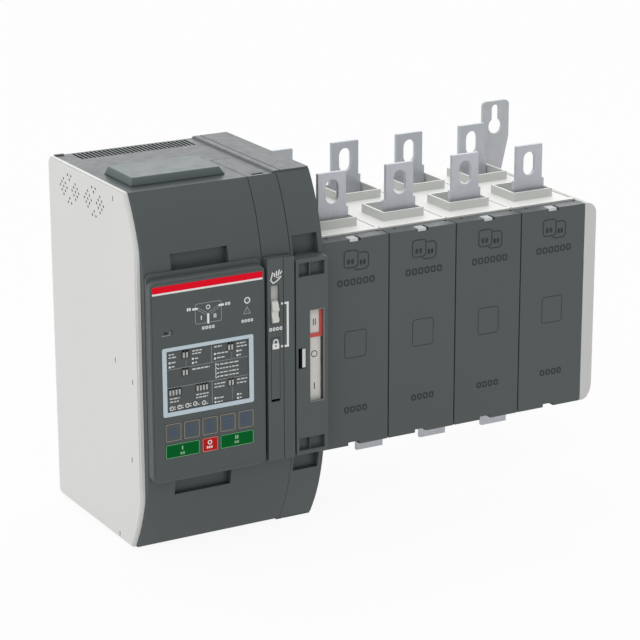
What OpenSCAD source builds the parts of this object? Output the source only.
// Four-pole automatic transfer switch on a steel base plate.
// +X runs from the mechanism box to the poles, +Y to the mounting wall, +Z up, so fronts face -Y.
// Origin: on the rear mounting plane, level with the main shaft, where the poles begin.

/* [Poles] */
// Number of switching poles
pole_count = 4; // [2:1:4]
// Width of one pole
pole_pitch = 60; // [60:0.5:64]
// Half height of a pole body
pole_h = 82; // [82:0.5:86]
// Depth of the pole body front face
pole_front = 138; // [138:1:142]
// Depth of the pole cover front face
cover_front = 151.6; // [150:0.2:156]

/* [Terminals] */
// Thickness of a terminal bar
lug_t = 3.5; // [3:0.1:3.5]
// Width of a terminal bar at its eye
lug_w = 24.5; // [22:0.5:26]
// Width of the terminal bar's shoulder
shoulder_w = 28.5; // [27:0.5:29]
// Height of the terminal bar's end above the shaft level
lug_top = 124.6; // [120:0.2:128]
// Width of the terminal slot
lug_slot_w = 11; // [9:0.5:12]
// Length of the terminal slot
lug_slot_l = 19; // [14:0.5:20]

/* [Mechanism box] */
// Width of the mechanism box
mech_w = 150; // [150:1:156]
// Half height of the mechanism box
half_h = 136.4; // [135:0.2:138]
// Depth of the curved front at mid height
depth_mid = 160; // [160:0.2:161]
// Depth of the curved front at its top and bottom edges
depth_edge = 135; // [132:0.5:140]
// Wall thickness of the covers
wall = 2.5; // [2.2:0.1:2.8]
// Radius of a vent hole
vent_r = 1.1; // [0.8:0.1:1.2]

/* [Operator panel] */
// Depth of the panel front face
panel_front = 165; // [165:0.1:165.4]
// Pitch of the setting switch levers
lever_pitch = 2.54; // [2.54:0.01:2.6]

/* [Drive] */
// Depth of the main shaft's axis
shaft_y = 67.8; // [67.8:0.1:68]
// Side of the square shaft
shaft_sq = 14; // [13.8:0.1:14]
// Half of the shaft's turn between the two sources
half_turn = 35; // [34:0.5:35]
// Radius of the flag crank pin
flag_arm = 43.6; // [43:0.1:44]
// Radius of the plunger crank pin
plunger_arm = 25; // [24.5:0.1:25]

/* [Base plate] */
// Thickness of the base plate
plate_t = 2.5; // [2:0.1:2.5]
// Radius of the lower fixing holes
fix_r = 3.5; // [3:0.1:3.5]

/* [Hidden] */
$fn = 48;
axis_y = -shaft_y;
axis = [axis_y, 0];       // [y, z] of the main shaft
pole_end = pole_count * pole_pitch;
side_x = -mech_w - 1.8;   // outer face of the side cover
panel_y = -panel_front;
seat = -156.5;            // flat seat behind the panel parts
tie_y = [-128, -14];      // tie bolts, above and below the shaft
tie_z = 70;
tie_hole_r = 3.3;
cover_grey = "#4f5759";

// ---------- helpers; a range is [low, high] ----------

function about(centre, half) = [centre - half, centre + half];
function grow(range, by) = [range[0] - by, range[1] + by];
function mid(range) = (range[0] + range[1]) / 2;

function arc(x, y, r, start, end, steps = 6) = [
  for (i = [0:steps])
    let (a = start + (end - start) * i / steps)
    [x + r * cos(a), y + r * sin(a)]];

function rounded(x, z, r) = concat(
  arc(x[1] - r, z[1] - r, r, 0, 90), arc(x[0] + r, z[1] - r, r, 90, 180),
  arc(x[0] + r, z[0] + r, r, 180, 270), arc(x[1] - r, z[0] + r, r, 270, 360));

// Box filling three ranges
module box(x, y, z)
  translate([x[0], y[0], z[0]]) cube([x[1] - x[0], y[1] - y[0], z[1] - z[0]]);

// Outlines in (y, z) extruded over x, and in (x, z) extruded over y
module along_x(x)
  translate([x[0], 0, 0]) rotate([90, 0, 90]) linear_extrude(height = x[1] - x[0]) children();
module along_y(y)
  translate([0, y[1], 0]) rotate([90, 0, 0]) linear_extrude(height = y[1] - y[0]) children();

// Cylinders parallel to an axis; "at" holds the other two coordinates
module rod_x(at, r, x)
  translate([x[0], at[0], at[1]]) rotate([0, 90, 0]) cylinder(r = r, h = x[1] - x[0]);
module rod_y(at, r, y)
  translate([at[0], y[1], at[1]]) rotate([90, 0, 0]) cylinder(r = r, h = y[1] - y[0]);
module rod_z(at, r, z) translate([at[0], at[1], z[0]]) cylinder(r = r, h = z[1] - z[0]);

module flip_z() mirror([0, 0, 1]) children();
// Children above the shaft level, and their mirror image below
module both() {
  children();
  flip_z() children();
}

module poles() for (i = [0:pole_count - 1]) translate([i * pole_pitch, 0, 0]) children();

// Cylinders on all four tie bolt axes
module tie_rods(r, x) both() for (y = tie_y) rod_x([y, tie_z], r, x);
module tie_holes(x) tie_rods(tie_hole_r, x, $fn = 24);

// ---------- mechanism box ----------

cover_x0 = side_x + 4.05;       // left edge of the main cover
side_cut = [side_x - 1, side_x + 5];
seat_cut = [-160, -150];        // through the seat
recess_cut = [-175, -149];      // finger recesses
insert_edge_y = -76;
vent_z = 118.7;
vent_step = 3;
keyhole_z = 113.7;

// Curved front at height z
function front_y(z) = -(depth_mid - (depth_mid - depth_edge) * pow(abs(z) / half_h, 3.5));

// Side outline (y, z) of the box, inset all round and its front by front_inset more.
// It ends at y = rear and never comes forward of y = limit.
function side(inset, rear, limit = -200, corner_r = 0, front_inset = 0) =
  let (h = half_h - inset, steps = 40, y = rear - corner_r, z = h - corner_r)
  concat(
    [for (i = [0:steps])
      let (z = -h + 2 * h * i / steps)
      [max(front_y(z * half_h / h) + inset + front_inset, limit), z]],
    corner_r > 0
      ? concat(arc(y, z, corner_r, 90, 0), arc(y, -z, corner_r, 0, -90))
      : [[rear, h], [rear, -h]]);

// Two diamonds of nine holes, with three holes above and below between them
module vents(centre_y) {
  for (s = [-1, 1], i = [-1:1], j = [-1:1])
    vent(centre_y + s * 10.7 + vent_step * (i - j), vent_z - vent_step * (i + j));
  for (s = [-1, 1], offset = [[-3, 10.4], [3, 10.4], [0, 7.2]])
    vent(centre_y + offset[0], vent_z + s * offset[1]);
}
module vent(y, z) rod_x([y, z], vent_r, side_cut, $fn = 24);

// [y, z] of the small upright slits in the side cover
side_slits = [[-116.1, 128.5], [-113.1, 5.3], [-142.3, -3.6], [-137.8, -65.2], [-112.8, -132.2]];

module left_side_cover() color("#d6d7d3") difference() {
  union() {
    along_x([side_x, side_x + 1.2])
      polygon(side(1.2, -1.5, limit = -149.8, corner_r = 4, front_inset = 1.3));
    along_x([side_x + 1.2, side_x + 4])
      polygon(side(0, -0.3, limit = -151, corner_r = 4, front_inset = 2.3));
  }
  for (y = [-39.5, -83]) vents(y);
  for (slit = side_slits) box(side_cut, about(slit[0], 0.6), about(slit[1], 2));
}

// Cut leaving a flat seat for the panel parts
module panel_cut(x, gap = 0) box(x, [-175, seat + gap], about(0, 77.3));

// Hollow length of the box, open at both ends and at the rear
module shell(x) difference() {
  along_x(x) polygon(side(0, -3));
  along_x(grow(x, 1)) polygon(side(wall, 1, limit = -154));
  panel_cut(grow(x, 1));
}

// Pocket behind a finger recess, following the wall of the curved front
module pocket(x) along_x(x) polygon([
  [-155.2, 75.2], [-154.9, 80], [-152.9, 90], [-151.9, 94.3], [-146.5, 94.3], [-146.5, 75.2]]);

module main_cover() color(cover_grey) difference() {
  slit_pitch = 3.47;
  slit_w = 2.1;
  union() {
    shell([cover_x0, -27.9]);
    // Left end wall
    difference() {
      along_x([cover_x0, side_x + 6]) polygon(side(0.5, -3));
      panel_cut([side_x, side_x + 9], 0.1);
      box([side_x, side_x + 9], [-106, -18], [103, 131.5]);
    }
    box([cover_x0, -140.5], [-6, -3], [135, 137.3]);
    both() pocket([-127.1, -77]);
  }
  // Openings behind the operator panel and the selector
  box([-142.5, -58.5], seat_cut, about(0, 72.5));
  box([-50.8, -30.2], seat_cut, about(0, 72));
  // Corner taken by the insert cover
  box([-52.1, -20], [-175, insert_edge_y], [79.8, 145]);
  both() box([-125.3, -78.9], recess_cut, [77, 92.3]);
  // Row of slits in the top
  for (i = [0:27])
    translate([slit_pitch * i, 0, 0]) box([-134, -134 + slit_w], [-24.6, -5.4], [130, 140]);
}

module insert_cover() color("#545c5e") difference() {
  x = [-51.5, -28.1];
  intersection() {
    shell(x);
    box(x, [-175, insert_edge_y - 0.3], [80.1, 145]);
  }
  box([-45.9, -36.2], [-132, -128.9], [130, 145]);
}

module right_cover() color(cover_grey) difference() {
  x = [-27.6, -0.3];
  rib_y = [-134, -3];
  union() {
    shell(x);
    // Raised strip on the top and bottom, with a sloping left edge
    both() box(x, rib_y, [136.2, 137.9]);
    both() along_y(rib_y) polygon([[-31.2, 136.5], [-29.6, 137.9], [-27, 137.9], [-27, 136.5]]);
    both() pocket([-27.4, -2.3]);
    // Right end wall
    difference() {
      along_x([-2.2, -0.3]) polygon(side(0.5, -3));
      panel_cut([-5, 1], 0.1);
    }
  }
  rod_x(axis, 12, [-3, 0]);
  tie_holes([-3, 0]);
  box([-26.5, -2.5], seat_cut, about(0, 72));
  both() box([-25.6, -4.2], recess_cut, [77, 92.4]);
  both() box([-24.4, -23.7], [-140, -2], [136.9, 139]);
}

module base_plate() color("#a9abb0") difference() {
  cut = [-5, 5];
  union() {
    box([-mech_w + 3.2, 0], [-plate_t, 0], about(0, 134));
    box([-1, pole_end], [-plate_t, 0], about(0, 79));
    // Ears past the last pole
    both() along_y([-plate_t, 0]) polygon(concat(
      [[pole_end - 1, 60], [pole_end + 12, 60], [pole_end + 19.4, 76], [pole_end + 26, 104]],
      arc(pole_end + 22, 131, 4, 0, 90), arc(pole_end + 4, 131, 4, 90, 180),
      [[pole_end, 79], [pole_end - 1, 79]]));
  }
  // Keyholes above, round holes below
  for (x = [-120, pole_end + 12.5]) {
    rod_y([x, keyhole_z], 6.5, cut);
    along_y(cut) polygon(rounded(about(x, 3.5), [keyhole_z, 131.9], 3.5));
    rod_y([x, -118], fix_r, cut);
  }
}

// Tapered lid on top of the box, with a hollow beneath
module module_lid() color("#5b6265") difference() {
  foot = [[-138.8, -119.8, 136.5], [-62, -119.8, 136.5], [-62, -74, 136.5], [-138.8, -74, 136.5]];
  top = [[-138, -120.3, 143], [-67.3, -120.3, 143], [-67.3, -79.5, 143], [-138, -79.5, 143]];
  polyhedron(points = concat(foot, top), convexity = 2, faces = [
    [0, 1, 2, 3], [7, 6, 5, 4], [0, 4, 5, 1], [1, 5, 6, 2], [2, 6, 7, 3], [3, 7, 4, 0]]);
  box([-136, -70], [-117.5, -83], [135, 140.8]);
}

// ---------- operator panel ----------

overlay_y = [panel_y, panel_y + 0.4];
part_back = seat - 0.1;      // rear of the parts standing on the seat
face_cut = [-170, -160];     // through the panel face

// x ranges of the five menu keys and of the three operating keys
menu_keys = [[-137.3, -124.2], [-122.4, -109.2], [-107.4, -94.4], [-92.8, -79.6], [-77.6, -64.5]];
oper_keys = [[-137.3, -109.5], [-107.4, -94.4], [-92.6, -64.7]];
menu_key_z = [-46, -32];
oper_key_z = [-59, -48];

// [z, radius] of each lens
leds = [[52.1, 1.3], [44.3, 1.1]];
led_x = -68.8;

// [x, z, levers] of each setting switch bank
banks = [[-119.5, 19.0, 2], [-82.6, 19.0, 2], [-119.8, 5.7, 2],
  [-82.4, -8.2, 2], [-128.5, -8.2, 4], [-106.3, -8.2, 4]];

module led_rods(gap, y) for (led = leds) rod_y([led_x, led[0]], led[1] + gap, y, $fn = 24);

module panel_holes() {
  for (x = menu_keys) box(x, face_cut, menu_key_z);
  for (x = oper_keys) box(x, face_cut, oper_key_z);
  led_rods(0.1, [-170, -155]);
}

module hmi_case() color("#4a5254") difference() {
  union() {
    along_y([overlay_y[1], part_back]) polygon(rounded([-147.3, -54.2], about(0, 77), 5));
    along_y([-159, part_back]) polygon(rounded([-147.3, -54.2], [60, 80.8], 4));
    box([-141.8, -59.2], [seat - 0.2, -146], about(0, 71.8));
  }
  box([-139.8, -61.2], [-162.2, -145], about(0, 69.8));
  box([-134.6, -68], [-170, -161], [-23, 22.6]);
  panel_holes();
}

module hmi_overlay() color("#454d50") difference() {
  along_y(overlay_y) polygon(rounded([-145.8, -55.6], [-74.2, 74.6], 3.5));
  box([-138.6, -64], face_cut, [-26.8, 25.9]);
  panel_holes();
}

module dip_frame() color("#c3cfdd") difference() {
  along_y([panel_y - 0.15, overlay_y[1]]) polygon(rounded([-138.5, -64.1], [-26.7, 25.8], 1.5));
  box([-135, -67.7], face_cut, [-23.4, 23]);
}

module bank_box(bank, gap, y)
  box(about(bank[0], bank[2] * lever_pitch / 2 + 0.8 + gap), y, about(bank[1], 3.2 + gap));

// x of every lever in a bank
function lever_places(bank) =
  [for (i = [0:bank[2] - 1]) bank[0] + (i - (bank[2] - 1) / 2) * lever_pitch];

module dip_plate() color("#474f52") difference() {
  box([-134.5, -68.1], [-164.2, -162.6], [-22.9, 22.5]);
  for (bank = banks) bank_box(bank, 0.05, face_cut);
}

module dip_switch_bodies() color("#3a3f42") for (bank = banks) difference() {
  bank_box(bank, 0, [-164.1, -156]);
  for (x = lever_places(bank)) box(about(x, 0.75), [-165, -158.5], about(bank[1], 2.8));
}

// Each lever is a front plate with a stem at its lower end
module levers(bank) color("#f0f0ec") for (x = lever_places(bank)) {
  low = bank[1] - 2.7;
  box(about(x, 0.65), [-164.8, -163.3], [low, bank[1] + 1.3]);
  box(about(x, 0.65), [-163.4, -158.9], [low, bank[1] - 0.9]);
}
module dip_levers_1() levers(banks[0]);
module dip_levers_2() levers(banks[1]);
module dip_levers_3() levers(banks[2]);
module dip_levers_4() levers(banks[3]);
module dip_levers_5() levers(banks[4]);
module dip_levers_6() levers(banks[5]);

module led_lenses() color("#e8f4e8") led_rods(0, [-165.2, -160]);

// Board with a component on each side of its rear face
module hmi_board() color("#2e6b3c") {
  rear = -150.2;
  box([-139.3, -61.7], [-151.8, rear], about(0, 69));
  box([-130, -105], [rear, -146.5], [20, 40]);
  box([-90, -75], [rear, -147], [-20, 5]);
}

// Cap standing proud of the panel, with a round stem behind
module key(x, z) {
  box(grow(x, -0.2), [panel_y - 0.25, -161], grow(z, -0.2));
  rod_y([mid(x), mid(z)], 2.5, [-161.2, -152.6]);
}
module menu_key(i) color("#4c5356") key(menu_keys[i], menu_key_z);
module on_key(i) color("#0a6a25") key(oper_keys[i], oper_key_z);
module key_1() menu_key(0);
module key_2() menu_key(1);
module key_3() menu_key(2);
module key_4() menu_key(3);
module key_5() menu_key(4);
module key_on_1() on_key(0);
module key_off() color("#d8122c") key(oper_keys[1], oper_key_z);
module key_on_2() on_key(2);

// ---------- selector and operating block ----------

strip_hollow_y = [-162.4, -150];
flag_z = flag_arm * sin(half_turn);

module selector_bezel() color(cover_grey) difference() {
  box([-51.8, -38.7], [panel_y, part_back], [-76.7, 80.4]);
  box([-50.2, -40.2], strip_hollow_y, about(0, 74));
  box([-49, -42.1], face_cut, [30.8, 59.9]);
  box([-49.2, -41.8], face_cut, [-30, 19.9]);
}

module centre_strip() color(cover_grey) difference() {
  box([-38.4, -29.2], [panel_y, part_back], [-76.7, 80]);
  box([-37, -30.6], strip_hollow_y, about(0, 74));
}

module selector_knob() color("#e2e2d8") {
  box([-48.8, -43.2], [-167.2, -162.2], [31.2, 48.2]);
  box([-48.8, -43.2], [-168.2, -167.1], [37, 43]);
}

module selector_slider() color("#8f8f8b") {
  box([-50, -40.4], [-162.2, -160.4], [18.5, 61.5]);
  box([-47.5, -44.5], [-160.5, -140], [34, 46]);
}

// Front plate with a drilled tongue behind
module padlock_latch() color("#50585a") difference() {
  union() {
    box([-49, -42], [panel_y, -162.4], [-28, 19.6]);
    box([-46.7, -44.3], [-162.5, -132], [-27.8, -6]);
  }
  rod_x([-157, -19.5], 3.6, [-50, -40]);
}

module operating_block() color(cover_grey) difference() {
  along_x([-28, -1]) polygon([
    [part_back, -76.8], [panel_y + 1, -76.4], [panel_y, -75.5],
    [panel_y, 75.3], [panel_y + 1.2, 76.4], [part_back, 77.2]]);
  box([-26.4, -2.6], [-162.5, -150], about(0, 58));
  // Handle opening, then the window and the rebate behind it
  box([-26.2, -19.6], face_cut, about(0, 8));
  box([-16.9, -3.9], face_cut, [-35.7, 37.2]);
  box([-18, -3.1], [-163.7, -160], [-36.6, 38.1]);
  // Recess near each end, with an upright rib across it
  for (z = [[63.2, 73.6], [-73, -63]]) difference() {
    box([-25.7, -3.9], [-170, -160.4], z);
    box([-16.2, -15.4], [-163.6, -160], grow(z, 1));
  }
}

module window_pane() color("#c8d8dc", 0.35) box([-17.9, -3.2], [-163.6, -162.6], [-36.5, 38]);

module position_scale() color("#c4c1bb") {
  box([-18, -4.9], [-160.4, -159.2], [-44, 48]);
  both() box([-18, -10], [-159.3, -155], [40, 44]);
}

module position_flag() color("#b5443c") {
  arm_z = [15, 35];
  // Open frame behind the window
  difference() {
    box([-17, -3.8], [-161.6, -160.8], [14, 37]);
    box([-15.8, -6.4], [-163, -160], [17, 35.8]);
  }
  // Stepped arm back to the crank, with a slot for its pin
  difference() {
    union() {
      box([-4.6, -3.4], [-161.5, -134], arm_z);
      box([-6.1, -3.4], [-137, -134], arm_z);
      box([-6.1, -4.8], [-137, -95], arm_z);
    }
    box([-7, -4], [-115.6, -99.4], about(flag_z, 3.8));
  }
}

module handle_interlock() color("#dcdcd6") {
  box([-22.9, -19.8], [-164.6, -146], about(0, 7.5));
  box([-25, -19.8], [-150, -146], about(0, 7.5));
}

// ---------- poles ----------

pole_x = [0.5, pole_pitch - 0.5];
housing_rear = -3.2;
end_t = 11;                // thickness of the end cover
lug_x = 32.1;              // centre of a terminal within its pole
front_lug_y = -113.5;      // front faces of the three terminal rows
rear_lug_y = -29.6;
load_lug_y = axis_y - lug_t / 2;
front_collar_y = [-120, -87];
rear_collar_y = [-55, -21];
load_collar_y = [-86, -50];

module pole_cover(i) color("#4a5254") if (i < pole_count) translate([i * pole_pitch, 0, 0])
  difference() {
    box(pole_x, [-cover_front, -pole_front - 0.1], about(0, pole_h));
    box(grow([0, pole_pitch], -2.3), [-cover_front + 3, -120], about(0, pole_h - 1.9));
    // Notches in the bottom and top edges
    box([24.5, 34.2], [-cover_front - 1, -cover_front + 9], [-pole_h - 1, -pole_h + 2.5]);
    box([25.2, 35.2], [-cover_front - 1, -143.8], [pole_h - 2.2, pole_h + 1]);
    for (x = [10, 55.4]) box([x, x + 2.6], [-141.8, -139.4], [pole_h - 3, pole_h + 1]);
  }
module pole_cover_1() pole_cover(0);
module pole_cover_2() pole_cover(1);
module pole_cover_3() pole_cover(2);
module pole_cover_4() pole_cover(3);

// Open frame around a terminal where it leaves the housing
module collar(y) difference() {
  box([13.5, 50], y, [pole_h - 1, pole_h + 7]);
  box([15.3, 48.2], grow(y, -1.8), [pole_h + 0.1, pole_h + 8]);
}

// Shallow sunk floor inside a collar, and the slot for the bar
module terminal_cuts(collar_y, bar_y) {
  box([15.5, 48.5], grow(collar_y, -2), [pole_h - 1.6, pole_h + 1]);
  box([22.8, 41.4], grow([bar_y, bar_y + lug_t], 0.3), [pole_h - 5, pole_h + 2]);
}

module pole_housings() color("#e8e8e2") poles() difference() {
  latch_x = [25.6, 32.8];
  through = grow([0, pole_pitch], 1);
  union() {
    box(pole_x, [-pole_front, housing_rear], about(0, pole_h));
    box(pole_x, [-pole_front, -133.8], [pole_h - 0.1, pole_h + 1.2]);
    collar(front_collar_y);
    collar(rear_collar_y);
    flip_z() collar(load_collar_y);
    // Tab reaching forward into the cover's top notch
    box(latch_x, [-cover_front + 0.1, -144.1], [pole_h - 2.1, pole_h + 0.2]);
    box(latch_x, [-148.3, -137], [pole_h - 4.4, pole_h - 2]);
  }
  box(grow([0, pole_pitch], -3), [-pole_front + 3, -6], about(0, pole_h - 3));
  terminal_cuts(front_collar_y, front_lug_y);
  terminal_cuts(rear_collar_y, rear_lug_y);
  flip_z() terminal_cuts(load_collar_y, load_lug_y);
  rod_x(axis, 14, through);
  tie_holes(through);
}

module end_cover() color("#d0d1cd") difference() {
  corner = 9;
  corner_x = pole_end + end_t - corner;
  lower_corner_h = 14;
  along_y([-cover_front, housing_rear]) polygon(concat(
    [[pole_end + 0.3, pole_h], [pole_end + 0.3, -pole_h]],
    [for (a = [-90:10:0])
      [corner_x + corner * cos(a), -pole_h + lower_corner_h * (1 + sin(a))]],
    arc(corner_x, pole_h - corner, corner, 0, 90, 8)));
  // Hollow, leaving bosses around the shaft and the bolts
  difference() {
    box([pole_end - 1, pole_end + 8], [-pole_front, -6], about(0, pole_h - 4.5));
    rod_x(axis, 15, [pole_end - 1, pole_end + 10]);
    tie_rods(6.5, [pole_end - 1, pole_end + 10]);
  }
  rod_x(axis, 10, [pole_end - 1, pole_end + 8]);
  tie_holes([pole_end - 1, pole_end + 13]);
}

// Terminal bar pointing up from its front face at y0; its eye and end are "shorter" lower
module lug(y0, shorter = 0) {
  y = [y0, y0 + lug_t];
  slot_z = 109.7 - shorter;
  box(about(lug_x, 9), y, [44, 90]);
  difference() {
    union() {
      box(about(lug_x, shoulder_w / 2), y, [pole_h + 0.3, 96.7]);
      box(about(lug_x, lug_w / 2), y, [90, lug_top - shorter]);
    }
    along_y(grow(y, 1)) polygon(rounded(about(lug_x, lug_slot_w / 2),
      about(slot_z, lug_slot_l / 2), lug_slot_w / 2 - 0.01));
  }
}

module source1_terminals() color("#a0a2aa") poles() {
  lug(front_lug_y);
  box(about(lug_x, 6), [front_lug_y + lug_t - 0.1, -106], [44, 56]);
}

module source2_terminals() color("#a0a2aa") poles() lug(rear_lug_y);

module load_terminals() color("#a0a2aa") poles() {
  difference() {
    flip_z() lug(load_lug_y, 2.8);
    box([0, pole_pitch], about(axis_y, 10), [-40, 0]);
  }
  box(about(lug_x, 9), about(axis_y, lug_t / 2), [-45, -21.5]);
  // Cradle under the moving contact
  difference() {
    rod_x(axis, 23, about(lug_x, 7));
    rod_x(axis, 19.2, about(lug_x, 8));
    box(about(lug_x, 10), about(axis_y, 30), [-10, 30]);
  }
}

// ---------- drive ----------

shaft_half = shaft_sq / 2;
journal_r = 6.9;
solenoid = [-81, -42.8];    // [x, y] of the solenoid axis
coil_plate_z = [32, 84];    // outer faces of the plates at the ends of the upper coil
plunger_z = -plunger_arm * sin(half_turn);
board_face = -131.5;        // x where the parts on the power board begin

module main_shaft() color("#8e9094") {
  box([-102, pole_end - 1.5], about(axis_y, shaft_half), about(0, shaft_half));
  rod_x(axis, journal_r, [-111, -101]);
  rod_x(axis, journal_r, [pole_end - 2, pole_end + 7]);
}

module square_bore(x) box(x, about(axis_y, shaft_half + 0.05), about(0, shaft_half + 0.05));

// Puts children on the shaft axis, their +Y turned up by the angle
module on_shaft(angle) translate([0, axis_y, 0]) rotate([angle, 0, 0]) children();

module contact_rotors() color("#7a2e22") poles() difference() {
  rod_x(axis, 13.95, grow([0, pole_pitch], -0.6));
  square_bore([0, pole_pitch]);
}

module moving_contacts() color("#b87333") poles() difference() {
  x = about(lug_x, 6);
  union() {
    rod_x(axis, 19, x);
    on_shaft(90 - half_turn) box(x, [15, 60.5], [-4, 4]);
  }
  rod_x(axis, 14, about(lug_x, 8));
}

// Stack of notched plates between two cheeks; direction is +1 behind the shaft, -1 in front
module chute(direction) {
  z = [46, 77];
  for (i = [0:3]) difference() {
    box(grow([0, pole_pitch], -5), about(axis_y + direction * (12.5 + 5 * i), 0.75), z);
    box(about(lug_x, 8), [-200, 0], [40, 66]);
  }
  for (x = [4.6, pole_pitch - 6.2]) box([x, x + 1.6], about(axis_y + direction * 20, 9), z);
}
module arc_chutes() color("#9a9c9e") poles() {
  chute(1);
  chute(-1);
}

// Hub and arm with a pin at the arm's end
module crank(x, angle, arm, pin_x) color("#7c7f84") {
  difference() {
    union() {
      rod_x(axis, 13, x);
      on_shaft(angle) box(x, [0, arm], [-5, 5]);
      on_shaft(angle) rod_x([arm, 0], 6, x);
    }
    square_bore(grow(x, 1));
  }
  on_shaft(angle) rod_x([arm, 0], 3, pin_x);
}
module indicator_crank() crank([-16, -10], 180 - half_turn, flag_arm, [-16, -4.6]);
module plunger_crank() crank([-74, -68], -half_turn, plunger_arm, [-87, -68]);

// Slotted block on the crank pin, with a rod above and below
module plunger() color("#a4a6aa") translate([0, 0, plunger_z]) {
  difference() {
    box([-86.5, -75.5], [-53.8, -31.8], about(0, 8));
    box([-88, -74], [-51.6, -38.8], about(0, 3.6));
  }
  both() rod_z(solenoid, 7, [7.9, 62]);
}

module solenoid_yoke() color("#6d7074") both() difference() {
  x = about(solenoid[0], 23.5);
  y = [-66, -2.6];
  z = coil_plate_z;
  plate = 3.5;
  cheek = 2.5;
  union() {
    box(x, y, [z[0], z[0] + plate]);
    box(x, y, [z[1] - plate, z[1]]);
    box([x[0], x[0] + cheek], y, z);
    box([x[1] - cheek, x[1]], y, z);
  }
  rod_z(solenoid, 7.6, [30, 40]);
}

module solenoid_coils() color("#b06a2c") both() difference() {
  rod_z(solenoid, 19.5, grow(coil_plate_z, -3.6));
  rod_z(solenoid, 7.5, [30, 90]);
}

module power_board() color("#2a6338") {
  box([-133, -131.4], [-132, -22], about(0, 92));
  // Corner posts
  both() for (y = [-126, -28]) rod_x([y, 86], 3, [board_face, -108.05], $fn = 24);
  // Components
  box([board_face, -113], [-118, -80], [-62, -24]);
  box([board_face, -116], [-70, -40], [-60, -30]);
  for (y = [-110, -86]) rod_x([y, 30], 9, [board_face, -114], $fn = 32);
  box([board_face, -120], [-66, -34], [15, 45]);
}

// Two upright plates joined by four spacers
module mechanism_frame() color("#9b9da1") difference() {
  plate_y = [-132, -2.6];
  union() {
    for (x = [[-108, -105], [-4.4, -2.4]]) box(x, plate_y, about(0, 124));
    both() for (y = [-122, -16]) rod_x([y, 114], 4, [-105.1, -4.3], $fn = 24);
  }
  rod_x(axis, 10, [-110, -104]);
  rod_x(axis, 11.5, [-5, 0]);
  tie_holes([-5, 0]);
  both() for (x = [-109, -5]) box([x, x + 6], [-112, -92], [35, 105]);
}

module shaft_bearings() color("#b8964a") {
  outer_r = 9.97;
  bore_r = 6.95;
  difference() {
    union() {
      rod_x(axis, outer_r, [-109, -104.9]);
      rod_x(axis, 13, [-105, -103]);
    }
    rod_x(axis, bore_r, [-110, -100]);
  }
  difference() {
    rod_x(axis, outer_r, [pole_end + 0.6, pole_end + 7.9]);
    rod_x(axis, bore_r, [pole_end - 1, pole_end + 10]);
  }
}

// Bolts with a hexagon at each end
module tie_bolts() color("#aeb0b4") {
  end_x = pole_end + end_t;
  tie_rods(3, [-8.2, end_x + 0.5], $fn = 24);
  tie_rods(5.2, [-7.7, -4.5], $fn = 6);
  tie_rods(5.2, [end_x + 0.05, end_x + 4], $fn = 6);
}

left_side_cover();
main_cover();
insert_cover();
right_cover();
base_plate();
module_lid();
hmi_case();
hmi_overlay();
dip_frame();
dip_plate();
dip_switch_bodies();
led_lenses();
hmi_board();
key_1();
key_2();
key_3();
key_4();
key_5();
key_on_1();
key_off();
key_on_2();
dip_levers_1();
dip_levers_2();
dip_levers_3();
dip_levers_4();
dip_levers_5();
dip_levers_6();
selector_bezel();
centre_strip();
selector_knob();
selector_slider();
padlock_latch();
operating_block();
window_pane();
position_scale();
position_flag();
handle_interlock();
pole_cover_1();
pole_cover_2();
pole_cover_3();
pole_cover_4();
pole_housings();
end_cover();
source1_terminals();
source2_terminals();
load_terminals();
main_shaft();
contact_rotors();
moving_contacts();
arc_chutes();
indicator_crank();
plunger_crank();
plunger();
solenoid_yoke();
solenoid_coils();
power_board();
mechanism_frame();
shaft_bearings();
tie_bolts();
